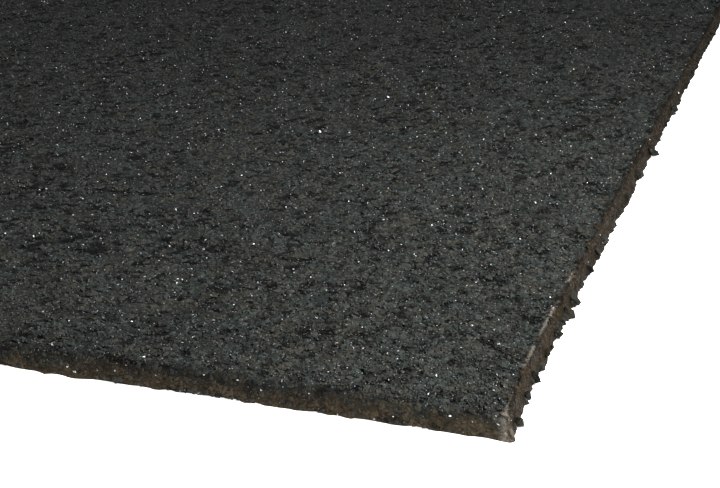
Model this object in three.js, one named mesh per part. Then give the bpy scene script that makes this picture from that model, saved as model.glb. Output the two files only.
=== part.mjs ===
// Anti-slip mat: a square sheet of black rubber granulate bound with polyurethane, cut from roll stock.
// Millimetres, +Z up. The origin is the middle of the underside, +X runs to the right along the front edge
// and +Y away from it. The mat is one piece: the underside is the full size, each cut face leans back a
// little towards the top as a drag knife leaves it, and only the top arris is worn round.
import * as THREE from "three";
import { mergeVertices } from "three/addons/utils/BufferGeometryUtils.js";

// Driving sizes of the sheet
const matWidth = 600; // along X, at the underside
const matLength = 600; // along Y, at the underside
const matThickness = 8;

// Shape of the cut edge
const faceLeanBack = 0.9; // how far the face has moved in by the height of the top face
const arrisRadius = 0.7; // worn round of the top edge
const cornerRadius = 1.6; // plan round of the four upright corners

// How finely the rounds are divided
const arrisSegments = 6;
const cornerSegments = 8;

// Finish of the rubber, as seen in daylight
const rubberFinish = { color: 0x3e403f, roughness: 0.88, metalness: 0 };

// Plan outline of the sheet, moved in by inset on all four sides: a rectangle with round corners.
function planOutline(inset) {
  const halfX = matWidth / 2 - inset - cornerRadius;
  const halfY = matLength / 2 - inset - cornerRadius;
  const corners = [
    [halfX, -halfY, -Math.PI / 2],
    [halfX, halfY, 0],
    [-halfX, halfY, Math.PI / 2],
    [-halfX, -halfY, Math.PI],
  ];
  return corners.flatMap(([x, y, from]) => {
    const round = new THREE.EllipseCurve(x, y, cornerRadius, cornerRadius, from, from + Math.PI / 2);
    return round.getPoints(cornerSegments);
  });
}

// Section of the cut edge as [inset, height] pairs, from the underside up. The straight face runs into the
// arris round without a step, and the round ends level with the top face.
function edgeSection() {
  const lean = Math.atan(faceLeanBack / matThickness);
  const roundHeight = matThickness - arrisRadius;
  const roundInset =
    arrisRadius * Math.cos(lean) + Math.tan(lean) * (roundHeight + arrisRadius * Math.sin(lean));
  const round = new THREE.EllipseCurve(
    roundInset, roundHeight, arrisRadius, arrisRadius, Math.PI - lean, Math.PI / 2, true,
  );
  return [[0, 0], ...round.getPoints(arrisSegments).map((p) => [p.x, p.y])];
}

// Closed skin through the plan outline at each height of the section, with a flat face at either end.
function loftedSheet() {
  const section = edgeSection();
  const outlines = section.map(([inset]) => planOutline(inset));
  const around = outlines[0].length;
  const positions = section.flatMap(([, height], level) =>
    outlines[level].flatMap((p) => [p.x, p.y, height]),
  );
  const faces = [];
  for (let level = 0; level + 1 < section.length; level++) {
    for (let i = 0; i < around; i++) {
      const next = (i + 1) % around;
      const [a, b] = [level * around + i, level * around + next];
      const [c, d] = [a + around, b + around];
      faces.push(a, b, d, a, d, c);
    }
  }
  const top = (section.length - 1) * around;
  for (const [a, b, c] of THREE.ShapeUtils.triangulateShape(outlines[0], [])) {
    faces.push(a, c, b);
  }
  for (const [a, b, c] of THREE.ShapeUtils.triangulateShape(outlines[section.length - 1], [])) {
    faces.push(top + a, top + b, top + c);
  }
  const skin = new THREE.BufferGeometry();
  skin.setAttribute("position", new THREE.Float32BufferAttribute(positions, 3));
  skin.setIndex(faces);
  const closed = mergeVertices(skin);
  closed.computeVertexNormals();
  return closed;
}

const mat = new THREE.Mesh(loftedSheet(), new THREE.MeshStandardMaterial(rubberFinish));
mat.name = "mat";

const antiSlipMat = new THREE.Group();
antiSlipMat.add(mat);

export default antiSlipMat;
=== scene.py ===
"""Dresses a square anti-slip mat of bound rubber granulate: its grained skin, the granules that stand out
of it, the crumbs along its cut edges and its bright specks, on a pale studio floor."""

import math

import bpy
import numpy as np
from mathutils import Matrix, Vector


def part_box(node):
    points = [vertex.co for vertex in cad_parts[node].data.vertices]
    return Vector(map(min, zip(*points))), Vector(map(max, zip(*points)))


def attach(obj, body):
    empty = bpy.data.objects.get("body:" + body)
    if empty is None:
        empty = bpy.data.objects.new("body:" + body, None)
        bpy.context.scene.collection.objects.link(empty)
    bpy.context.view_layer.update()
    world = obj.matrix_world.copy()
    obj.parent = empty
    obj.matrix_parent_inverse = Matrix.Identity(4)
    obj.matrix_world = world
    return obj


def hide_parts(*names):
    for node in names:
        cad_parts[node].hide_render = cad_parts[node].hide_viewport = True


bl_info = {
    "name": "Rubber granulate mat",
    "version": (1, 0, 0),
    "blender": (4, 5, 0),
    "location": "View3D > Sidebar > Granulate Mat",
    "description": "Builds a grained anti-slip mat around its plain solid",
    "category": "Add Mesh",
}

MM = 0.001
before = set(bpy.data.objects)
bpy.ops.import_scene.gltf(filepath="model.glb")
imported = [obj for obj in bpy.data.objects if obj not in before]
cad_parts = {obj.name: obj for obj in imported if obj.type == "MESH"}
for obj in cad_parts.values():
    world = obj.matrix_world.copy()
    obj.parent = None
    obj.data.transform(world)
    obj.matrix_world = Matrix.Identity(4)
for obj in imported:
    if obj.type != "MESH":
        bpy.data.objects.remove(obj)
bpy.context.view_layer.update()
mat_low, mat_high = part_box("mat")

# The cut edge: how far the face leans back by the top, the worn round of the arris, and the plan round.
FACE_LEAN_BACK = 0.9 * MM
ARRIS_RADIUS = 1.3 * MM
CORNER_RADIUS = 2.2 * MM

# The hand-cut outline: how far the right side runs in at mid length and flares out at the near corner.
SIDE_BOW = 0.54 * MM
CORNER_FLARE = 2.76 * MM
FLARE_LENGTH = 30 * MM

# How much further the right side leans back than the others.
RIGHT_LEAN = 1.3 * MM

# Torn granules along the right side's foot: the distance of each from the near corner and how far it sticks
# out, both in mm.
BURRS = (
    (10.0, 2.1), (27.8, 1.7), (41.5, 1.6), (52.5, 1.1), (62.4, 1.2), (79.8, 1.7), (91.2, 0.8), (97.4, 2.6),
    (109.8, 2.9), (128.0, 0.6), (141.7, 1.2), (159.4, 2.0), (175.4, 2.4), (194.0, 0.8), (211.4, 0.7),
    (227.2, 1.0), (246.2, 0.8), (259.3, 2.0), (294.4, 4.2), (364.5, 2.6), (380.8, 1.6), (413.9, 1.4),
)

# Each of them is a long crumb with lower ones beside it: how far each crumb stands along the side from the
# granule's place, in mm, and its share of the reach.
BURR_CRUMBS = ((0, 1), (-1.2, 0.6), (1.2, 0.55), (2.2, 0.3))

# Granules drawn at random along each side's foot: how many, and how far a middling one sticks out, in mm.
FOOT_GRAINS = {"right": (200, 0.3), "back": (300, 0.5), "left": (300, 0.5), "front": (300, 0.3)}

# Grains that can be told apart, four painted glints and one tan crumb: x, y and half width in mm, and how
# tan each is, from 0 to 1.
MARKED_GLINTS_AND_TAN_CRUMB = (
    (149.7, -41.8, 0.85, 0.0),
    (162.8, 24.0, 0.85, 0.0),
    (210.8, 167.7, 0.85, 0.0),
    (128.9, -160.6, 0.6, 0.0),
    (233.7, -264.6, 0.75, 1.0),
)

# The way out of each cut face, in plan.
SIDE_WAYS = {"right": (1, 0), "back": (0, 1), "left": (-1, 0), "front": (0, -1)}

# Steps of the top face's grid to one step of the underside's.
FINE_TO_COARSE = 4

# The camera: its place from the mat's right top corner at the back, how far it looks down, its turn to the
# left and its focal length.
CAMERA_FROM_BACK_CORNER = (0.0997, -1.0501, 0.2352)
CAMERA_DOWN_DEGREES = 21.215
CAMERA_TURN_DEGREES = 18.009
FOCAL_PIXELS = 1676.0
PICTURE_WIDTH_PIXELS = 720


# Numbers from a lattice


def hashed(lattice, seed):
    """Even numbers from 0 to 1 for whole-number lattice points: each coordinate times its own large odd
    number, added up, then mixed by shifts and one more product, and read as a share of the largest
    32-bit number."""
    steps = np.asarray(lattice, np.int64) * np.array([374761393, 668265263, 2147483629])
    mixed = (steps.sum(-1) + seed * 144665051) & 0xFFFFFFFF
    mixed = ((mixed ^ (mixed >> 13)) * 1274126177) & 0xFFFFFFFF
    mixed = ((mixed ^ (mixed >> 15)) * 2246822519) & 0xFFFFFFFF
    return ((mixed ^ (mixed >> 16)) & 0xFFFFFFFF) / 0xFFFFFFFF


def smooth_noise(points, cell, seed):
    """Soft noise from -1 to 1: the lattice numbers at a cell's eight corners, blended by 3t2 - 2t3 along
    each axis."""
    scaled = points / cell
    base = np.floor(scaled).astype(np.int64)
    share = scaled - base
    share = share * share * (3 - 2 * share)
    total = np.zeros(len(points))
    for corner in np.ndindex(2, 2, 2):
        weight = np.prod(np.where(corner, share, 1 - share), axis=-1)
        total += weight * hashed(base + np.array(corner), seed)
    return total * 2 - 1


def granule_cells(points, cell, seed):
    """Packed grains: one seed point is put at random in each lattice cell. For each point this gives the
    distance to the nearest seed, how much further the second is, both as shares of the cell, and the
    nearest seed's number."""
    scaled = points / cell
    base = np.floor(scaled).astype(np.int64)
    near = np.full(len(points), 9.0)
    second = np.full(len(points), 9.0)
    number = np.zeros(len(points))
    for offset in np.ndindex(3, 3, 3):
        lattice = base + np.array(offset) - 1
        jitter = np.stack([hashed(lattice, seed + k) for k in range(3)], -1)
        distance = np.linalg.norm(lattice + jitter - scaled, axis=-1)
        closer = distance < near
        second = np.where(closer, near, np.minimum(second, distance))
        number = np.where(closer, hashed(lattice, seed + 7), number)
        near = np.where(closer, distance, near)
    return near, second - near, number


def smoothstep(low, high, value):
    """0 below low, 1 above high, and 3t2 - 2t3 between them."""
    share = np.clip((value - low) / (high - low), 0, 1)
    return share * share * (3 - 2 * share)


# Meshes


def mesh_object(name, points, faces, smooth, attributes=None):
    """A mesh object from arrays: points are rows of x, y, z, and faces is a list of index arrays, each
    with one face to a row. Attributes are given for each point."""
    corners = np.concatenate([f.ravel() for f in faces]).astype(np.int32)
    counts = np.concatenate([np.full(len(f), f.shape[1]) for f in faces])
    starts = np.concatenate([[0], np.cumsum(counts)[:-1]]).astype(np.int32)
    mesh = bpy.data.meshes.new(name)
    mesh.vertices.add(len(points))
    mesh.vertices.foreach_set("co", np.asarray(points, np.float32).ravel())
    mesh.loops.add(len(corners))
    mesh.loops.foreach_set("vertex_index", corners)
    mesh.polygons.add(len(starts))
    mesh.polygons.foreach_set("loop_start", starts)
    mesh.polygons.foreach_set("use_smooth", np.full(len(starts), smooth))
    mesh.update(calc_edges=True)
    for key, values in (attributes or {}).items():
        layer = mesh.attributes.new(key, "FLOAT", "POINT")
        layer.data.foreach_set("value", np.asarray(values, np.float32))
    mesh.validate()
    made = bpy.data.objects.new(name, mesh)
    bpy.context.scene.collection.objects.link(made)
    return made


def graded(count, finest_at_end, ratio):
    """count + 1 numbers from -1 to 1 whose steps grow evenly by the ratio away from one end: a scaled
    exponential."""
    run = np.linspace(0, 1, count + 1)
    growth = math.log(ratio)
    away = (np.exp(growth * run) - 1) / (ratio - 1)
    return 1 - 2 * away[::-1] if finest_at_end else 2 * away - 1


def edge_section(rows_round, rows_face):
    """The cut edge from the top face down to the underside, as rows of inset, height, outward and upward
    part of the surface's direction. The arris is a quarter round, less the lean, and the face below it
    is straight."""
    thickness = mat_high.z - mat_low.z
    lean = math.atan(FACE_LEAN_BACK / thickness)
    round_height = thickness - ARRIS_RADIUS
    round_inset = ARRIS_RADIUS * math.cos(lean) + math.tan(lean) * (
        round_height + ARRIS_RADIUS * math.sin(lean)
    )
    angle = np.linspace(math.pi / 2, lean, rows_round + 1)
    arris = np.stack(
        [
            round_inset - ARRIS_RADIUS * np.cos(angle),
            round_height + ARRIS_RADIUS * np.sin(angle),
            np.cos(angle),
            np.sin(angle),
        ],
        -1,
    )
    down = np.linspace(1, 0, rows_face + 1)[1:, None]
    foot = np.array([[0, 0, math.cos(lean), math.sin(lean)]])
    face = foot + down * (arris[-1:] - foot) * np.array([[1, 1, 0, 0]])
    return np.concatenate([arris, face])


def along_section(run):
    """Inset, height, outward and upward part of the direction at a run up the cut edge from the foot:
    straight lines between the rows of a fine section."""
    rows = edge_section(16, 4)[::-1]
    steps = np.linalg.norm(np.diff(rows[:, :2], axis=0), axis=-1)
    reached = np.concatenate([[0], np.cumsum(steps)])
    return [np.interp(run, reached, rows[:, k]) for k in range(4)], reached[-1]


def on_sheet(s, t, section_row):
    """Points and directions of the sheet's skin at one row of the section. s and t run from -1 to 1
    across the outline. Within a corner's square the larger of the two distances becomes the radius, so
    squares turn to arcs."""
    inset, height, outward, upward = section_row
    half = np.array([mat_high.x, mat_high.y]) - inset
    place = np.stack([s, t], -1) * half
    beyond = np.abs(place) - (half - CORNER_RADIUS)
    in_corner = (beyond > 0).all(-1)
    reach = beyond.max(-1)
    length = np.maximum(np.linalg.norm(beyond, axis=-1), 1e-12)
    rounded = beyond * (reach / length)[:, None]
    beyond_used = np.where(in_corner[:, None], rounded, beyond)
    side = np.sign(place)
    plan = side * (half - CORNER_RADIUS + beyond_used)
    axis = np.where(np.abs([s, t]).T >= 1 - 1e-9, side, 0)
    facing = np.where(in_corner[:, None], side * beyond / length[:, None], axis)
    points = np.column_stack([plan, np.full(len(s), height)])
    ways = np.column_stack([facing * outward, np.full(len(s), upward)])
    return points, ways


def unit(vectors):
    """Each row divided by its length."""
    return vectors / np.maximum(np.linalg.norm(vectors, axis=-1, keepdims=True), 1e-12)


# The sheet


def settle_outline(points):
    """The sheet was cut by hand: its right side runs in by a shallow arc at mid length, leans back by its
    height and flares out at the near corner, where the move falls off as e to the distance. All of it
    fades from the right side inwards."""
    along = points[:, 1] / mat_high.y
    from_corner = points[:, 1] - mat_low.y
    move = CORNER_FLARE * np.exp(-from_corner / FLARE_LENGTH) - SIDE_BOW * (1 - along**2)
    move = move - RIGHT_LEAN * np.clip(points[:, 2] / mat_high.z, 0, 1)
    share = smoothstep(mat_high.x - 100 * MM, mat_high.x - 3 * MM, points[:, 0])
    settled = points.copy()
    settled[:, 0] += move * share
    return settled


def swell(points):
    """The slow rise and fall of the top face: two soft noises, one about four times as wide as the other."""
    slow = 0.10 * MM * smooth_noise(points, 45 * MM, seed=11)
    return slow + 0.07 * MM * smooth_noise(points, 11 * MM, seed=12)


def void_share(points):
    """Where granules are missing, from 0 to 1: the low places of a noise as wide as a granule, more of
    them where a slower noise is low too."""
    flat = points * np.array([1, 1, 0])
    level = smooth_noise(flat, 2.4 * MM, seed=51) + 0.25 * smooth_noise(flat, 13 * MM, seed=52)
    return smoothstep(-0.26, -0.46, level)


def sheet_relief(points):
    """How far the skin stands out of its plane, from -1 to 1: a noise as wide as a granule, a step for
    each packed grain, and a dent where a noise of pits is at its lowest."""
    bumps = smooth_noise(points, 1.9 * MM, seed=13)
    _, gap, number = granule_cells(points, 2.3 * MM, seed=14)
    step = (number - 0.5) * smoothstep(0.0, 0.25, gap)
    pits = smoothstep(0.45, 0.9, -smooth_noise(points, 3.1 * MM, seed=17))
    return 0.5 * bumps + 0.8 * step - 1.2 * pits


def right_share(points):
    """1 on the right side's face and arris, and 0 further in."""
    return smoothstep(mat_high.x - 2.0 * MM, mat_high.x - 1.5 * MM, points[:, 0])


def brown_share(points):
    """How brown the cut faces are, from 0 to 1: all the way up on the right side, and elsewhere fading
    from the foot to the arris, by more or less where a noise is high or low."""
    height = points[:, 2] / mat_high.z + 0.4 * smooth_noise(points, 4 * MM, seed=61)
    elsewhere = 0.66 * (1 - 0.95 * smoothstep(0.15, 1.10, height))
    return elsewhere + (1 - elsewhere) * right_share(points)


def painted_face_shade(points):
    """How light the rubber is painted against the middle of the top, from 0 to 1, as painted shade: less on
    the right side, which the key light lights most, and less along the front arris away from the near
    corner."""
    arris_painted_shade = 0.58
    right_painted_shade = 0.20
    height = points[:, 2]
    inside = smoothstep(1.5 * MM, 7 * MM, points[:, 1] - mat_low.y)
    low = 0.6 * smoothstep(6.8 * MM, 2.5 * MM, height) + 0.4 * smoothstep(3.2 * MM, 1.2 * MM, height)
    near = 0.45 * smoothstep(90 * MM, 10 * MM, mat_high.x - points[:, 0])
    share = np.maximum(np.maximum(inside, low), near)
    front = arris_painted_shade + (1 - arris_painted_shade) * share
    return front + (right_painted_shade - front) * right_share(points)


def edge_wear(points, upward):
    """How far the arris is broken back: most where the surface turns from the top to the face, in short
    runs."""
    turning = np.clip(1 - np.abs(upward * 2 - 1), 0, 1)
    runs = smoothstep(0.0, 0.7, smooth_noise(points, 7 * MM, seed=21))
    crumbs = smoothstep(-0.3, 0.8, smooth_noise(points, 1.8 * MM, seed=22))
    return turning * (0.2 + 0.8 * runs) * crumbs


def wear_and_highlight_share(points, wear):
    """How pale the arris and corner edges are, from 0 to 1: the worn arris, a painted highlight in short
    runs along the right side's arris near the near corner, where the key light catches it, and the four
    upright corner edges, which are paler. The last two fall off as e to the square of the distance."""
    beside = np.abs(np.array([mat_high.x, mat_high.y]) - np.abs(points[:, :2]))
    upright = np.exp(-((np.linalg.norm(beside, axis=-1) / (3.8 * MM)) ** 2))
    upright *= smoothstep(-0.8, 0.0, smooth_noise(points, 2.2 * MM, seed=24))
    from_corner = points[:, 1] - mat_low.y
    runs = smoothstep(-0.55, -0.1, smooth_noise(points * np.array([0, 1, 0]), 9 * MM, seed=25))
    rubbed = smoothstep(135 * MM, 115 * MM, from_corner) * smoothstep(20 * MM, 50 * MM, from_corner) * runs
    rubbed = np.maximum(rubbed, 0.6 * smoothstep(30 * MM, 5 * MM, from_corner))
    at_arris = np.exp(-(((points[:, 0] - mat_high.x + 1.8 * MM) / (0.6 * MM)) ** 2))
    at_arris *= smoothstep(6.8 * MM, 7.5 * MM, points[:, 2])
    return np.clip(0.3 * wear + 0.8 * rubbed * at_arris + 0.95 * upright, 0, 1)


def crossed(first, second):
    """Every number of one row with every number of another, as two flat arrays."""
    return [grid.ravel() for grid in np.meshgrid(first, second)]


def rim_numbers(steps):
    """The numbers of a square grid's outer points, once round from its first corner."""
    row = steps + 1
    run = np.arange(steps)
    return np.concatenate([run, run * row + steps, steps * row + steps - run, (steps - run) * row])


def build_sheet(settings):
    """The mat's closed skin: a graded grid for the top face, rings of quads down the cut edge, and a
    coarser grid for the underside, joined to the last ring by four fine steps to each coarse one."""
    across = settings.grid_steps
    coarse = across // FINE_TO_COARSE
    grade = settings.grid_grade
    s_line = graded(across, True, grade)
    t_line = graded(across, False, grade)
    section = edge_section(6, 7)

    s, t = crossed(s_line, t_line)
    top, top_way = on_sheet(s, t, section[0])
    top_way[:] = (0, 0, 1)
    rim = rim_numbers(across)

    ring_points, ring_ways = [], []
    for section_row in section[1:]:
        ring, way = on_sheet(s[rim], t[rim], section_row)
        ring_points.append(ring)
        ring_ways.append(way)
    skin = np.concatenate([top] + ring_points)
    ways = unit(np.concatenate([top_way] + ring_ways))

    on_face = smoothstep(0.85, 0.3, ways[:, 2])
    from_rim = np.min(np.array([mat_high.x, mat_high.y]) - np.abs(skin[:, :2]), axis=-1)
    inside = smoothstep(2.4 * MM, 5.0 * MM, from_rim)
    sunk = inside * (settings.skin_depth + settings.void_depth * void_share(skin))
    raised = sheet_relief(skin) * settings.relief + swell(skin) * (1 - on_face) - sunk
    wear = edge_wear(skin, ways[:, 2])
    # Pale arris marks: wear, and a painted highlight along the right side's arris.
    wear_and_highlight = wear_and_highlight_share(skin, wear)
    low_part = smoothstep(2.4 * MM, 0.3 * MM, skin[:, 2]) * on_face
    uneven = smooth_noise(skin, 9 * MM, seed=30) + 0.9 * smooth_noise(skin, 3.4 * MM, seed=31)
    ragged = uneven * settings.ragged_foot * low_part
    moved = skin + ways * (raised - wear * settings.edge_break + ragged)[:, None]
    moved[:, 2] = np.maximum(moved[:, 2], mat_low.z)
    moved[-len(rim) :, 2] = mat_low.z

    # The underside has shallow dents that never reach under the floor
    below_row = (3.5 * MM, 0, 0, -1)
    below, _ = on_sheet(*crossed(s_line[::FINE_TO_COARSE], t_line[::FINE_TO_COARSE]), below_row)
    below[:, 2] = mat_low.z + np.abs(sheet_relief(below + np.array([0, 0, 0.1]))) * settings.relief

    faces = [grid_quads(across, 0)]
    upper = rim
    for level in range(len(section) - 1):
        lower = len(top) + level * len(rim) + np.arange(len(rim))
        faces.append(np.stack([upper, lower, np.roll(lower, -1), np.roll(upper, -1)], -1))
        upper = lower
    faces.append(grid_quads(coarse, len(moved))[:, ::-1])
    fine = upper.reshape(-1, FINE_TO_COARSE)
    fine_next = np.roll(upper, -FINE_TO_COARSE).reshape(-1, FINE_TO_COARSE)[:, 0]
    inner = len(moved) + rim_numbers(coarse)
    inner_next = np.roll(inner, -1)
    first, second, third, fourth = fine.T
    joins = [
        (first, inner, second),
        (second, inner, third),
        (third, inner, inner_next),
        (third, inner_next, fourth),
        (fourth, inner_next, fine_next),
    ]
    faces.append(np.concatenate([np.stack(join, -1) for join in joins]))
    pad = np.zeros(len(below))
    # Painted shade: the skin's tone drops where granules are missing and the skin is sunk into voids.
    gap = 0.6 * void_share(skin) * (1 - on_face)
    attributes = {
        "tone": np.concatenate([0.55 + 0.25 * smooth_noise(skin, 2.2 * MM, seed=42) - gap, pad + 0.3]),
        "hue": np.concatenate([0.5 + 0.5 * smooth_noise(skin, 4 * MM, seed=41), pad + 0.5]),
        "cut_face": np.concatenate([on_face * brown_share(skin), pad]),
        # Painted shade on the cut faces and the front arris, lifted where the edges are pale, and painted
        # shade on the underside.
        "shade": np.concatenate([np.maximum(painted_face_shade(skin), 0.85 * wear_and_highlight), pad + 0.7]),
        "arris_wear_and_highlight": np.concatenate([wear_and_highlight, pad]),
    }
    points = settle_outline(np.concatenate([moved, below]))
    return mesh_object("granulate_sheet", points, faces, True, attributes)


def grid_quads(steps, start):
    """Rows of four corners for a grid of steps by steps squares, seen from above."""
    i, j = crossed(np.arange(steps), np.arange(steps))
    first = start + j * (steps + 1) + i
    return np.stack([first, first + 1, first + steps + 2, first + steps + 1], -1)


# The granules


def granules(centres, ways, reach, rise, dome, sides, draw, tilt=0.12, crown=0.0):
    """Closed angular grains, one for each centre. A grain is a ring at even angles moved at random, each
    point at its own share of the reach, drawn out one way and leaning a little, closed below by one
    flat face. Above it is a top point, off to one side by a random share, or a second ring of crown
    times the reach with a flat face on it. Gives points and lists of faces."""
    longest = 1.35
    count = len(centres)
    helper = np.where(np.abs(ways[:, :1]) < 0.9, [[1.0, 0, 0]], [[0, 1.0, 0]])
    across = unit(np.cross(ways, helper))
    along = np.cross(ways, across)
    angle = (np.arange(sides) + draw.uniform(-0.32, 0.32, (count, sides))) * 2 * np.pi / sides
    radius = reach[:, None] * draw.uniform(0.72, 1.18, (count, sides))
    longer = draw.uniform(1, longest, (count, 1))
    turn = draw.uniform(0, 2 * np.pi, (count, 1))
    u_plain = radius * np.cos(angle) * longer
    v_plain = radius * np.sin(angle) / longer
    u = u_plain * np.cos(turn) - v_plain * np.sin(turn)
    v = u_plain * np.sin(turn) + v_plain * np.cos(turn)
    lean = draw.normal(0, tilt, (2, count, 1))
    off = draw.uniform(-0.3, 0.3, (2, count, 1)) * reach[:, None]

    def placed(u, v, w):
        """Points from their distances along the grain's three directions."""
        plan = across[:, None] * u[..., None] + along[:, None] * v[..., None]
        return centres[:, None] + plan + ways[:, None] * w[..., None]

    ring = placed(u, v, rise[:, None] + lean[0] * u + lean[1] * v)
    step = np.arange(sides)
    after = (step + 1) % sides
    if crown:
        share = crown * draw.uniform(0.8, 1.2, (count, sides))
        u_top = u * share + 0.4 * off[0]
        v_top = v * share + 0.4 * off[1]
        slope = draw.normal(0, 1.4 * tilt, (2, count, 1))
        upper = placed(u_top, v_top, (rise + dome)[:, None] + slope[0] * u_top + slope[1] * v_top)
        wall = np.stack([step, after, after + sides, step + sides], -1)
        sheets = [wall, step[None] + sides, step[None, ::-1]]
    else:
        upper = placed(off[0], off[1], (rise + dome)[:, None] + lean[0] * off[0] + lean[1] * off[1])
        wall = np.stack([step, after, np.full(sides, sides)], -1)
        sheets = [wall, step[None, ::-1]]
    points = np.concatenate([ring, upper], axis=1)
    starts = (np.arange(count) * points.shape[1])[:, None, None]
    faces = [(sheet[None] + starts).reshape(-1, sheet.shape[1]) for sheet in sheets]
    return points.reshape(-1, 3), faces


def lumps(centres, sizes, draw):
    """Closed twenty-faced crumbs: the corners of an icosahedron, each pushed in or out at random, then
    turned about the first axis and made longer or shorter along all three."""
    golden = (1 + 5**0.5) / 2
    corner = np.array([
        [-1, golden, 0], [1, golden, 0], [-1, -golden, 0], [1, -golden, 0],
        [0, -1, golden], [0, 1, golden], [0, -1, -golden], [0, 1, -golden],
        [golden, 0, -1], [golden, 0, 1], [-golden, 0, -1], [-golden, 0, 1],
    ])
    face = np.array([
        [0, 11, 5], [0, 5, 1], [0, 1, 7], [0, 7, 10], [0, 10, 11],
        [1, 5, 9], [5, 11, 4], [11, 10, 2], [10, 7, 6], [7, 1, 8],
        [3, 9, 4], [3, 4, 2], [3, 2, 6], [3, 6, 8], [3, 8, 9],
        [4, 9, 5], [2, 4, 11], [6, 2, 10], [8, 6, 7], [9, 8, 1],
    ])
    count = len(centres)
    shape = unit(corner)[None] * draw.uniform(0.50, 1.40, (count, len(corner), 1))
    tip = draw.uniform(0, 2 * np.pi, (count, 1))
    y = shape[..., 1] * np.cos(tip) - shape[..., 2] * np.sin(tip)
    z = shape[..., 1] * np.sin(tip) + shape[..., 2] * np.cos(tip)
    points = np.stack([shape[..., 0], y, z], -1) * sizes[:, None] + centres[:, None]
    faces = (face[None] + (np.arange(count) * len(corner))[:, None, None]).reshape(-1, 3)
    return points.reshape(-1, 3), faces


def grain_attributes(draw, centres, points, cut_face, dark_share, shade):
    """Each grain's own tone and hue, its share of the cut face's brown and its painted shade, for each of
    its points.
    Most grains are grey, and where a noise of patches is low they are near black. The pale edge marks, wear
    and a painted highlight, go by each point's own place."""
    count = len(centres)
    each = len(points) // count
    wear = wear_and_highlight_share(points, 0.0)
    patch = smooth_noise(centres, 3.8 * MM, seed=71) + 0.5 * draw.normal(0, 0.35, count)
    tone = 1 - dark_share + dark_share * smoothstep(-0.55, -0.05, patch) + draw.normal(0, 0.15, count)
    hue = np.clip(0.5 + 0.5 * smooth_noise(centres, 6 * MM, seed=72) + draw.normal(0, 0.22, count), 0, 1)
    return {
        "tone": np.repeat(tone, each),
        "hue": np.repeat(hue, each),
        "cut_face": np.repeat(np.broadcast_to(cut_face, count), each),
        "shade": np.maximum(np.repeat(np.broadcast_to(shade, count), each), 0.85 * wear),
        "arris_wear_and_highlight": wear,
    }


def top_places(spacing, margin, draw):
    """One point at random in each square of the top face, by its own share of the square."""
    half = mat_high.x - margin
    steps = int(2 * half / spacing)
    i, j = crossed(np.arange(steps), np.arange(steps))
    share = draw.uniform(0.08, 0.92, (2, len(i)))
    x = (i + share[0]) / steps * 2 * half - half
    y = (j + share[1]) / steps * 2 * half - half
    return np.stack([x, y, np.full(len(x), mat_high.z)], -1)


def build_top_granules(settings):
    """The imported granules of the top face: some with a flat crown, the others peaked like gravel, none
    where the noise of voids leaves them out. They are four pieces, one to each quarter of the mat."""
    draw = np.random.default_rng(501)
    centres = top_places(settings.grain_spacing, 2.6 * MM, draw)
    centres = centres[void_share(centres) < draw.uniform(0.05, 0.95, len(centres))]
    centres[:, 2] += swell(centres)
    quarter = (centres[:, 0] > 0) * 1 + (centres[:, 1] > 0) * 2
    flat = draw.random(len(centres)) < 0.5
    made = []
    for number in range(4):
        points, faces, attributes, start = [], [], [], 0
        for chosen, sides, crown in ((flat, 4, 0.66), (~flat, 5, 0.0)):
            here = centres[chosen & (quarter == number)]
            count = len(here)
            reach = settings.grain_spacing * draw.lognormal(-0.64, 0.30, count)
            low = draw.uniform(-0.62, -0.36, count) * MM
            dome = draw.normal(0.0 if crown else 0.10, 0.12, count) * MM - low
            ways = np.tile([[0.0, 0.0, 1.0]], (count, 1))
            shells, sheets = granules(here, ways, reach, low, dome, sides, draw, tilt=0.10, crown=crown)
            points.append(shells)
            faces.extend(sheet + start for sheet in sheets)
            # Painted shade on the granules near the front arris.
            attributes.append(grain_attributes(draw, here, shells, 0.0, 0.4, painted_face_shade(here)))
            start += len(shells)
        joined = {key: np.concatenate([part[key] for part in attributes]) for key in attributes[0]}
        name = "top_granules_%d" % (number + 1)
        made.append(mesh_object(name, settle_outline(np.concatenate(points)), faces, False, joined))
    return made


def build_top_crumbs(settings):
    """Finer crumbs between and on the granules. Some are spread evenly and the rest thin out from the
    near corner as e to the distance along each side."""
    draw = np.random.default_rng(502)
    count = settings.crumb_count
    half = mat_high.x - 1.5 * MM
    near_share = 0.6
    near_spread = 110 * MM
    even_spread = 10.0
    spread = np.where(draw.random(count) < near_share, near_spread, even_spread)
    share = -spread * np.log(1 - draw.random((2, count)) * (1 - np.exp(-2 * half / spread)))
    centres = np.column_stack([half - share[0], share[1] - half, np.full(count, mat_high.z)])
    centres[:, 2] += swell(centres)
    reach = draw.uniform(0.25, 0.7, count) * MM
    rise = draw.uniform(-0.40, -0.05, count) * MM
    dome = draw.uniform(0.5, 1.2, count) * reach
    ways = np.tile([[0.0, 0.0, 1.0]], (count, 1))
    points, faces = granules(centres, ways, reach, rise, dome, 4, draw, tilt=0.2)
    # Painted shade on the crumbs near the front arris and the right side.
    attributes = grain_attributes(draw, centres, points, 0.0, 0.6, painted_face_shade(centres))
    return mesh_object("top_crumbs", settle_outline(points), faces, False, attributes)


def side_places(side, along, section, out):
    """Points and directions on one cut face: along is the way round from -1 to 1, section the rows at
    each point's run up the edge, and out is how far past the skin."""
    inset, height, outward_part, upward = section
    outward = np.array(SIDE_WAYS[side], float)
    sideways = np.array([-outward[1], outward[0]])
    reach = mat_high.x - inset + out * outward_part
    plan = outward[None] * reach[:, None] + sideways[None] * (along * mat_high.x)[:, None]
    ways = np.column_stack([outward[None] * outward_part[:, None], upward])
    return np.column_stack([plan, height + out * upward]), unit(ways)


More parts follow.
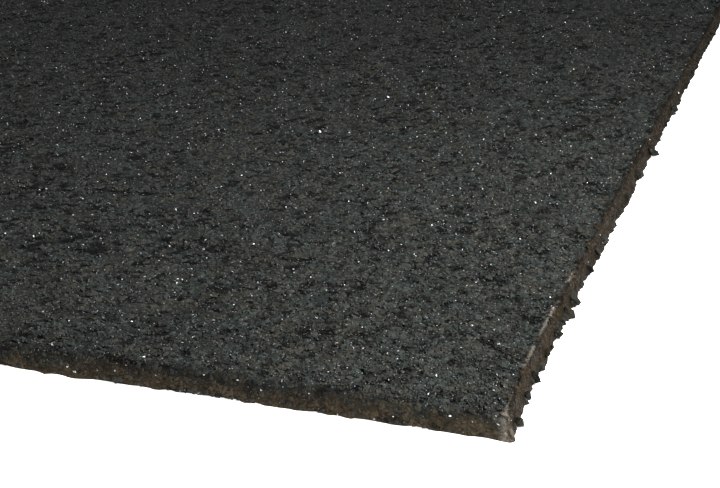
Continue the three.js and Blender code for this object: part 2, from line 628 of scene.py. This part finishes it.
def build_face_granules(settings):
    """Granules sawn through in the four cut faces and broken round their arris, almost flush with the
    skin."""
    draw = np.random.default_rng(503)
    points, faces, start, places = [], [], 0, []
    _, whole = along_section(0.0)
    for side in SIDE_WAYS:
        count = settings.face_grains
        along = draw.uniform(-0.994, 0.994, count)
        section, _ = along_section(draw.uniform(0.8 * MM, whole, count))
        centres, ways = side_places(side, along, section, draw.normal(0, 0.04 * MM, count))
        reach = draw.lognormal(0.0, 0.32, count) * MM
        rise = draw.uniform(-0.35, -0.1, count) * MM
        dome = draw.uniform(0.15, 0.65, count) * MM
        made, sheets = granules(centres, ways, reach, rise, dome, 5, draw, tilt=0.15)
        points.append(made)
        faces.extend(sheet + start for sheet in sheets)
        start += len(made)
        places.append(centres)
    points = np.concatenate(points)
    places = np.concatenate(places)
    # Painted shade on the cut faces' granules, most on the right side and along the front arris.
    attributes = grain_attributes(draw, places, points, brown_share(places), 0.4, painted_face_shade(places))
    points = settle_outline(points)
    points[:, 2] = np.clip(points[:, 2], mat_low.z, mat_high.z + 0.7 * MM)
    return mesh_object("face_granules", points, faces, False, attributes)


def build_foot_granules(settings):
    """Granules torn loose along the foot of the cut faces. Those of the right side stand where the near
    edge shows them, each a long crumb with lower ones beside it; the rest are drawn at random."""
    draw = np.random.default_rng(504)
    lost_in_skin = 0.9
    along, out, sides = [], [], []
    for distance, reach in BURRS:
        for shift, share in BURR_CRUMBS:
            along.append(((distance + shift * draw.uniform(0.7, 1.3)) * MM) / mat_high.x - 1)
            out.append((reach + lost_in_skin) * share * MM)
            sides.append("right")
    for side, (count, middle) in FOOT_GRAINS.items():
        along.extend(draw.uniform(-0.995, 0.995, count))
        out.extend(np.minimum(middle * draw.lognormal(0, 0.6, count), 3.2 * middle) * MM)
        sides.extend([side] * count)
    along, out, sides = (np.array(v) for v in (along, out, sides))
    count = len(out)
    long_half = 0.6 * out + draw.uniform(0.5, 0.9, count) * MM
    wide_half = draw.uniform(0.8, 1.4, count) * MM + 0.35 * out
    tall_half = draw.uniform(0.7, 1.1, count) * MM + np.minimum(0.45 * out, 1.3 * MM)
    height = tall_half * draw.uniform(0.8, 1.3, count)
    centres = np.zeros((count, 3))
    sizes = np.zeros((count, 3))
    for side, way in SIDE_WAYS.items():
        chosen = sides == side
        section, _ = along_section(height[chosen])
        centres[chosen], _ = side_places(side, along[chosen], section, (out - long_half)[chosen])
        first, second = (long_half, wide_half) if way[0] else (wide_half, long_half)
        sizes[chosen] = np.stack([first, second, tall_half], -1)[chosen]
    points, faces = lumps(centres, sizes, draw)
    # Painted shade on the foot granules, more on the right side.
    shade = np.where(sides == "right", 0.45, 0.8)
    attributes = grain_attributes(draw, centres, points, 0.15, 0.6, shade)
    points = settle_outline(points)
    points[:, 2] = np.maximum(points[:, 2], mat_low.z)
    return mesh_object("foot_granules", points, [faces], False, attributes)


def build_specks(settings):
    """Pale flakes of binder and mineral on the top face and a few on the cut faces, each a small four-sided
    grain tipped at random; the brightest are painted glints. A few stand where they can be told apart: four
    are painted glints at full tone, and one is tan."""
    draw = np.random.default_rng(505)
    count = settings.speck_count
    half = mat_high.x - 2 * MM
    marked = np.array(MARKED_GLINTS_AND_TAN_CRUMB)
    plan = np.concatenate([draw.uniform(-half, half, (count, 2)), marked[:, :2] * MM])
    centres = np.column_stack([plan, mat_high.z + draw.uniform(-0.05, 0.25, len(plan)) * MM])
    centres[:, 2] += swell(centres)
    ways = np.tile([[0, 0, 1.0]], (len(plan), 1))
    for side in SIDE_WAYS:
        on_face = count // (60 if side == "front" else 400)
        section, _ = along_section(draw.uniform(0.5, 8.0, on_face) * MM)
        along = draw.uniform(-0.99, 0.99, on_face)
        more, facing = side_places(side, along, section, np.full(on_face, 0.2 * MM))
        centres = np.concatenate([more, centres])
        ways = np.concatenate([facing, ways])
    ways = unit(draw.normal(0, 0.55, ways.shape) + ways)
    reach = np.minimum(draw.lognormal(-1.2, 0.42, len(centres)), 0.5) * MM
    reach[-len(marked) :] = marked[:, 2] * MM
    points, faces = granules(centres, ways, reach, np.zeros(len(centres)), 0.6 * reach, 4, draw)
    tone = draw.random(len(centres))
    # The marked grains get full tone as painted glints; the tan one takes its own colour.
    tone[-len(marked) :] = 1.0
    tan = np.zeros(len(centres))
    tan[-len(marked) :] = marked[:, 3]
    each = len(points) // len(centres)
    attributes = {"tone": np.repeat(tone, each), "tan": np.repeat(tan, each)}
    points = settle_outline(points)
    points[:, 2] = np.maximum(points[:, 2], mat_low.z)
    return mesh_object("painted_glint_specks", points, faces, False, attributes)


# Materials


class NodeSheet:
    """A short way to write a material's node tree."""

    def __init__(self, name):
        self.material = bpy.data.materials.new(name)
        self.material.use_nodes = True
        self.tree = self.material.node_tree
        self.tree.nodes.clear()
        self.output = self.tree.nodes.new("ShaderNodeOutputMaterial")
        self.shader = self.tree.nodes.new("ShaderNodeBsdfPrincipled")
        self.tree.links.new(self.shader.outputs[0], self.output.inputs[0])

    def link(self, source, target):
        """Joins an output to an input, or puts a plain value in it."""
        if hasattr(source, "is_output"):
            self.tree.links.new(source, target)
        else:
            target.default_value = source

    def add(self, kind, settings=None, **inputs):
        """A node of that kind with its settings and inputs. An input's name has _ for each space."""
        node = self.tree.nodes.new(kind)
        for key, value in (settings or {}).items():
            setattr(node, key, value)
        for key, value in inputs.items():
            self.link(value, node.inputs[key.replace("_", " ")])
        return node

    def maths(self, operation, first, second=0.0):
        """One operation on two numbers."""
        node = self.tree.nodes.new("ShaderNodeMath")
        node.operation = operation
        self.link(first, node.inputs[0])
        self.link(second, node.inputs[1])
        return node.outputs[0]

    def remap(self, value, low, high, to_low=0.0, to_high=1.0):
        """value carried smoothly from low..high to to_low..to_high."""
        node = self.add(
            "ShaderNodeMapRange",
            {"interpolation_type": "SMOOTHSTEP"},
            Value=value,
            From_Min=low,
            From_Max=high,
            To_Min=to_low,
            To_Max=to_high,
        )
        return node.outputs[0]

    def blend(self, share, first, second, mode="MIX"):
        """Two colours mixed by a share."""
        node = self.tree.nodes.new("ShaderNodeMix")
        node.data_type = "RGBA"
        node.blend_type = mode
        self.link(share, node.inputs[0])
        self.link(first, node.inputs[6])
        self.link(second, node.inputs[7])
        return node.outputs[2]


def rubber_material(settings):
    """Black rubber crumb in clear binder. A grain's own tone and hue come from its mesh, its tone lower as
    painted shade in the sunken voids. Three noises and fine cells vary its tone from dark pores to pale
    crumb, some cells are pale dots, partly dust and partly painted glints, and the cut faces are brown by
    their share. The mesh's shade darkens the colour as painted shade, and its pale edge marks are wear and a
    painted highlight."""
    n = NodeSheet("bound_granulate")
    place = n.add("ShaderNodeTexCoord").outputs["Object"]
    tone_own = n.add("ShaderNodeAttribute", {"attribute_name": "tone"}).outputs["Fac"]
    hue_own = n.add("ShaderNodeAttribute", {"attribute_name": "hue"}).outputs["Fac"]
    cut = n.add("ShaderNodeAttribute", {"attribute_name": "cut_face"}).outputs["Fac"]
    wear = n.add("ShaderNodeAttribute", {"attribute_name": "arris_wear_and_highlight"}).outputs["Fac"]
    shade = n.add("ShaderNodeAttribute", {"attribute_name": "shade"}).outputs["Fac"]
    mottle = n.add("ShaderNodeTexNoise", Vector=place, Scale=1 / (0.95 * MM), Detail=2.0, Roughness=0.6)
    grit = n.add("ShaderNodeTexNoise", Vector=place, Scale=1 / (0.35 * MM), Detail=3.0, Roughness=0.7)
    cells = n.add("ShaderNodeTexVoronoi", Vector=place, Scale=1 / (0.62 * MM))
    cell_rgb = n.add("ShaderNodeSeparateColor", Color=cells.outputs["Color"])
    cloud = n.add("ShaderNodeTexNoise", Vector=place, Scale=1 / (40 * MM), Detail=3.0)

    tone_shares = (
        (mottle.outputs["Fac"], 0.44),
        (grit.outputs["Fac"], 0.46),
        (cell_rgb.outputs[0], 0.14),
        (cloud.outputs["Fac"], 0.10),
    )
    tone = n.maths("MULTIPLY", tone_own, 0.42)
    for source, share in tone_shares:
        tone = n.maths("ADD", tone, n.maths("MULTIPLY", source, share))
    ramp = n.add("ShaderNodeValToRGB", Fac=tone)
    stops = ramp.color_ramp.elements
    # The darkest stop is near black: painted shade in the pores and sunken voids.
    stops[0].position = 0.48
    stops[0].color = (*settings.pore_shade_colour, 1)
    stops[1].position = 1.0
    stops[1].color = (*settings.pale_colour, 1)
    middle = stops.new(0.76)
    middle.color = (*settings.rubber_colour, 1)
    cool_tint = (0.89, 1.045, 1.03, 1)
    warm_tint = (1.11, 1.025, 0.87, 1)
    cool = n.remap(hue_own, 0.65, 0.25, 0.0, 0.9)
    colour = n.blend(cool, ramp.outputs[0], cool_tint, "MULTIPLY")
    warm = n.remap(hue_own, 0.55, 0.95, 0.0, 0.9)
    colour = n.blend(warm, colour, warm_tint, "MULTIPLY")

    face_tone = n.blend(n.remap(tone, 0.55, 1.1), (*settings.face_dark, 1), (*settings.face_pale, 1))
    colour = n.blend(cut, colour, face_tone)
    # Pale arris marks: wear, a painted highlight along the right side's arris, and paler corner edges.
    wear_and_highlight = n.maths("MULTIPLY", n.remap(wear, 0.1, 0.8), n.remap(grit.outputs["Fac"], 0.3, 0.62))
    colour = n.blend(n.maths("MULTIPLY", wear_and_highlight, 0.8), colour, (*settings.wear_and_highlight_colour, 1))
    # A few cells are pale dots: partly fine dust, partly painted glints.
    chosen = n.maths("GREATER_THAN", cell_rgb.outputs[1], 0.94)
    dust_and_glint = n.maths("MULTIPLY", chosen, n.remap(cells.outputs["Distance"], 0.42, 0.25))
    dust_and_glint = n.maths("MULTIPLY", dust_and_glint, n.remap(cut, 0.0, 0.6, 1.0, 0.25))
    colour = n.blend(n.maths("MULTIPLY", dust_and_glint, 0.75), colour, (*settings.dust_and_glint_colour, 1))
    # Painted shade: the colour is darkened towards black by the mesh's shade.
    colour = n.blend(shade, (0, 0, 0, 1), colour)
    n.link(colour, n.shader.inputs["Base Color"])

    gloss = n.remap(cell_rgb.outputs[2], 0.0, 1.0, 0.55, 1.0)
    n.link(gloss, n.shader.inputs["Roughness"])
    n.shader.inputs["Specular IOR Level"].default_value = 0.04

    pebble = n.maths("SUBTRACT", 1.0, cells.outputs["Distance"])
    bump = None
    for height, strength, depth in (
        (mottle.outputs["Fac"], 1.0, 0.30 * MM),
        (pebble, 0.8, 0.12 * MM),
        (grit.outputs["Fac"], 1.0, 0.14 * MM),
    ):
        under = {"Normal": bump.outputs[0]} if bump else {}
        bump = n.add("ShaderNodeBump", Strength=strength, Distance=depth, Height=height, **under)
    n.link(bump.outputs[0], n.shader.inputs["Normal"])
    return n.material


def speck_material(settings):
    """Clear pale flakes: each its own tone, the brightest a painted glint, and smooth enough to catch the
    light.
    """
    n = NodeSheet("painted_glint_speck")
    own = n.add("ShaderNodeAttribute", {"attribute_name": "tone"}).outputs["Fac"]
    place = n.add("ShaderNodeTexCoord").outputs["Object"]
    cloud = n.add("ShaderNodeTexNoise", Vector=place, Scale=1 / (0.3 * MM))
    uneven = n.remap(cloud.outputs["Fac"], 0.2, 0.8, 0.6, 1.0)
    share = n.maths("MULTIPLY", n.maths("POWER", own, 2.0), uneven)
    colour = n.blend(share, (*settings.speck_dull, 1), (*settings.speck_painted_glint, 1))
    tan = n.add("ShaderNodeAttribute", {"attribute_name": "tan"}).outputs["Fac"]
    colour = n.blend(tan, colour, (*settings.speck_tan, 1))
    n.link(colour, n.shader.inputs["Base Color"])
    n.link(n.remap(cloud.outputs["Fac"], 0.3, 0.7, 0.12, 0.4), n.shader.inputs["Roughness"])
    return n.material


def floor_material(settings):
    """A plain pale studio floor."""
    n = NodeSheet("studio_floor")
    n.shader.inputs["Base Color"].default_value = (*settings.floor_colour, 1)
    n.shader.inputs["Roughness"].default_value = 0.9
    n.shader.inputs["Specular IOR Level"].default_value = 0.1
    n.shader.inputs["Emission Color"].default_value = (1, 1, 1, 1)
    n.shader.inputs["Emission Strength"].default_value = 0.9
    return n.material


# The stage


def area_light(name, place, target, size, power, colour):
    """A square soft light that faces its target."""
    light = bpy.data.lights.new(name, "AREA")
    light.shape = "SQUARE"
    light.size = size
    light.energy = power
    light.color = colour
    made = bpy.data.objects.new(name, light)
    made.location = place
    made.rotation_euler = (Vector(target) - Vector(place)).to_track_quat("-Z", "Y").to_euler()
    bpy.context.scene.collection.objects.link(made)


class GranulateMatSettings(bpy.types.PropertyGroup):
    """Sizes and colours of the mat and its stage that a user may change."""

    grid_steps: bpy.props.IntProperty(
        name="Grid Steps",
        description="Squares of the sheet's top face along each side",
        default=220,
        min=40,
        max=280,
    )
    grid_grade: bpy.props.FloatProperty(
        name="Grid Grade",
        description="How many times wider the squares are at the far corner than at the near one",
        default=5.0,
        min=1.05,
    )
    grain_spacing: bpy.props.FloatProperty(
        name="Granule Spacing",
        description="Distance between the granules of the top face",
        default=2.25 * MM,
        unit="LENGTH",
        subtype="DISTANCE",
    )
    crumb_count: bpy.props.IntProperty(
        name="Crumbs",
        description="How many fine crumbs lie between the granules",
        default=24000,
        min=0,
        max=24900,
    )
    face_grains: bpy.props.IntProperty(
        name="Face Granules",
        description="How many sawn granules show in each cut face",
        default=2300,
        min=0,
    )
    speck_count: bpy.props.IntProperty(
        name="Bright Specks",
        description="How many bright flakes lie on the top face",
        default=5200,
        min=0,
        max=20000,
    )
    skin_depth: bpy.props.FloatProperty(
        name="Skin Depth",
        description="How far the skin lies under the tops of the granules",
        default=0.36 * MM,
        unit="LENGTH",
        subtype="DISTANCE",
    )
    void_depth: bpy.props.FloatProperty(
        name="Void Depth",
        description="How much deeper the skin lies where granules are missing",
        default=0.38 * MM,
        unit="LENGTH",
        subtype="DISTANCE",
    )
    relief: bpy.props.FloatProperty(
        name="Relief",
        description="How far the skin itself rises and falls",
        default=0.12 * MM,
        unit="LENGTH",
        subtype="DISTANCE",
    )
    edge_break: bpy.props.FloatProperty(
        name="Edge Break",
        description="How far the top arris is crumbled back",
        default=0.5 * MM,
        unit="LENGTH",
        subtype="DISTANCE",
    )
    ragged_foot: bpy.props.FloatProperty(
        name="Ragged Foot",
        description="How far the skin juts out along the foot of the cut faces",
        default=1.0 * MM,
        unit="LENGTH",
        subtype="DISTANCE",
    )
    rubber_colour: bpy.props.FloatVectorProperty(
        name="Rubber",
        description="Middle tone of the crumb",
        default=(0.0126, 0.0131, 0.0124),
        subtype="COLOR",
    )
    pale_colour: bpy.props.FloatVectorProperty(
        name="Pale Rubber",
        description="Lightest tone of the crumb, dusty and weathered",
        default=(0.0350, 0.0364, 0.0343),
        subtype="COLOR",
    )
    # Painted shade: the near-black tone of the pores and sunken voids.
    pore_shade_colour: bpy.props.FloatVectorProperty(
        name="Pores",
        description="Tone of the gaps between granules",
        default=(0.0009, 0.0010, 0.0009),
        subtype="COLOR",
    )
    # Pale dots in the crumb: partly fine dust, partly painted glints.
    dust_and_glint_colour: bpy.props.FloatVectorProperty(
        name="Dust",
        description="Fine pale dust in the crumb",
        default=(0.24, 0.25, 0.26),
        subtype="COLOR",
    )
    face_dark: bpy.props.FloatVectorProperty(
        name="Cut Face, Dark",
        description="Dark tone of the sawn edge",
        default=(0.0122, 0.0087, 0.0051),
        subtype="COLOR",
    )
    face_pale: bpy.props.FloatVectorProperty(
        name="Cut Face, Pale",
        description="Pale tone of the sawn edge",
        default=(0.0750, 0.0525, 0.0288),
        subtype="COLOR",
    )
    # Pale colour of the worn arris and of the painted highlight along the right side's arris.
    wear_and_highlight_colour: bpy.props.FloatVectorProperty(
        name="Scuff",
        description="Pale rub marks along the top arris",
        default=(0.182, 0.165, 0.142),
        subtype="COLOR",
    )
    speck_dull: bpy.props.FloatVectorProperty(
        name="Speck, Dull",
        description="Tone of the dullest bright flakes",
        default=(0.18, 0.19, 0.20),
        subtype="COLOR",
    )
    # Painted glint: the colour of the brightest flakes.
    speck_painted_glint: bpy.props.FloatVectorProperty(
        name="Speck, Bright",
        description="Tone of the brightest flakes",
        default=(0.85, 0.88, 0.92),
        subtype="COLOR",
    )
    speck_tan: bpy.props.FloatVectorProperty(
        name="Speck, Tan",
        description="Colour of the tan grain",
        default=(0.60, 0.34, 0.16),
        subtype="COLOR",
    )
    floor_colour: bpy.props.FloatVectorProperty(
        name="Floor",
        description="Colour of the studio floor",
        default=(0.97, 0.97, 0.97),
        subtype="COLOR",
    )


class GRANULATE_OT_stage(bpy.types.Operator):
    """Adds the pale floor, the soft lights and the camera"""

    bl_idname = "granulate_mat.stage"
    bl_label = "Studio"

    def execute(self, context):
        settings = context.scene.granulate_mat
        floor_half = 4.0
        corners = np.array([[-1, -1, 0], [1, -1, 0], [1, 1, 0], [-1, 1, 0]]) * floor_half
        floor = mesh_object("floor", corners, [np.array([[0, 1, 2, 3]])], False)
        floor.data.materials.append(floor_material(settings))

        world = bpy.data.worlds.new("studio")
        world.use_nodes = True
        back = world.node_tree.nodes["Background"]
        back.inputs["Color"].default_value = (0.97, 0.98, 1.0, 1)
        back.inputs["Strength"].default_value = 0.34
        context.scene.world = world
        near_corner = (mat_high.x, mat_low.y, 0)
        warm_white = (1.0, 0.985, 0.96)
        cool_white = (0.96, 0.99, 1.0)
        area_light("key", (0.60, -0.26, 0.38), near_corner, size=0.16, power=8.0, colour=warm_white)
        area_light("overhead", (0.2, 0.6, 1.5), (0, 0, 0), size=1.6, power=7.8, colour=cool_white)

        camera = bpy.data.cameras.new("camera")
        camera.sensor_width = 36.0
        camera.lens = FOCAL_PIXELS / PICTURE_WIDTH_PIXELS * camera.sensor_width
        camera.clip_start = 0.01
        eye = bpy.data.objects.new("camera", camera)
        eye.location = mat_high + Vector(CAMERA_FROM_BACK_CORNER)
        eye.rotation_euler = (math.radians(90 - CAMERA_DOWN_DEGREES), 0, math.radians(CAMERA_TURN_DEGREES))
        context.scene.collection.objects.link(eye)
        context.scene.camera = eye
        context.scene.view_settings.view_transform = "Standard"
        return {"FINISHED"}


def finish_rubber(settings, pieces):
    """Gives pieces the shared rubber material, a body to ride on and a material slot."""
    material = bpy.data.materials.get("bound_granulate") or rubber_material(settings)
    for piece in pieces:
        piece.data.materials.append(material)
        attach(piece, "root")


class GRANULATE_OT_sheet(bpy.types.Operator):
    """Adds the grained skin of the sheet"""

    bl_idname = "granulate_mat.sheet"
    bl_label = "Granulate Sheet"

    def execute(self, context):
        settings = context.scene.granulate_mat
        sheet = build_sheet(settings)
        finish_rubber(settings, [sheet])
        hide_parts("mat")
        return {"FINISHED"}


class GRANULATE_OT_top(bpy.types.Operator):
    """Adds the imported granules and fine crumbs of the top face"""

    bl_idname = "granulate_mat.top"
    bl_label = "Top Granules"

    def execute(self, context):
        settings = context.scene.granulate_mat
        finish_rubber(settings, [*build_top_granules(settings), build_top_crumbs(settings)])
        return {"FINISHED"}


class GRANULATE_OT_faces(bpy.types.Operator):
    """Adds the sawn granules of the cut faces and the torn ones along their foot"""

    bl_idname = "granulate_mat.faces"
    bl_label = "Face Granules"

    def execute(self, context):
        settings = context.scene.granulate_mat
        finish_rubber(settings, [build_face_granules(settings), build_foot_granules(settings)])
        return {"FINISHED"}


class GRANULATE_OT_specks(bpy.types.Operator):
    """Adds the pale flakes, the brightest of them painted glints"""

    bl_idname = "granulate_mat.specks"
    bl_label = "Bright Specks"

    def execute(self, context):
        settings = context.scene.granulate_mat
        specks = build_specks(settings)
        specks.data.materials.append(speck_material(settings))
        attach(specks, "root")
        return {"FINISHED"}


class GRANULATE_PT_panel(bpy.types.Panel):
    """Lists the pieces in the 3D view's sidebar"""

    bl_idname = "GRANULATE_PT_panel"
    bl_label = "Granulate Mat"
    bl_space_type = "VIEW_3D"
    bl_region_type = "UI"
    bl_category = "Granulate Mat"

    def draw(self, context):
        settings = context.scene.granulate_mat
        for name in settings.bl_rna.properties.keys():
            if name not in {"rna_type", "name"}:
                self.layout.prop(settings, name)
        for operator in OPERATORS:
            self.layout.operator(operator.bl_idname)


OPERATORS = (
    GRANULATE_OT_stage,
    GRANULATE_OT_sheet,
    GRANULATE_OT_top,
    GRANULATE_OT_faces,
    GRANULATE_OT_specks,
)
CLASSES = (GranulateMatSettings, *OPERATORS, GRANULATE_PT_panel)


def register():
    for cls in CLASSES:
        bpy.utils.register_class(cls)
    bpy.types.Scene.granulate_mat = bpy.props.PointerProperty(type=GranulateMatSettings)


def unregister():
    del bpy.types.Scene.granulate_mat
    for cls in reversed(CLASSES):
        bpy.utils.unregister_class(cls)


def main():
    register()
    bpy.ops.granulate_mat.stage()
    bpy.ops.granulate_mat.sheet()
    bpy.ops.granulate_mat.top()
    bpy.ops.granulate_mat.faces()
    bpy.ops.granulate_mat.specks()


if __name__ == "__main__":
    main()
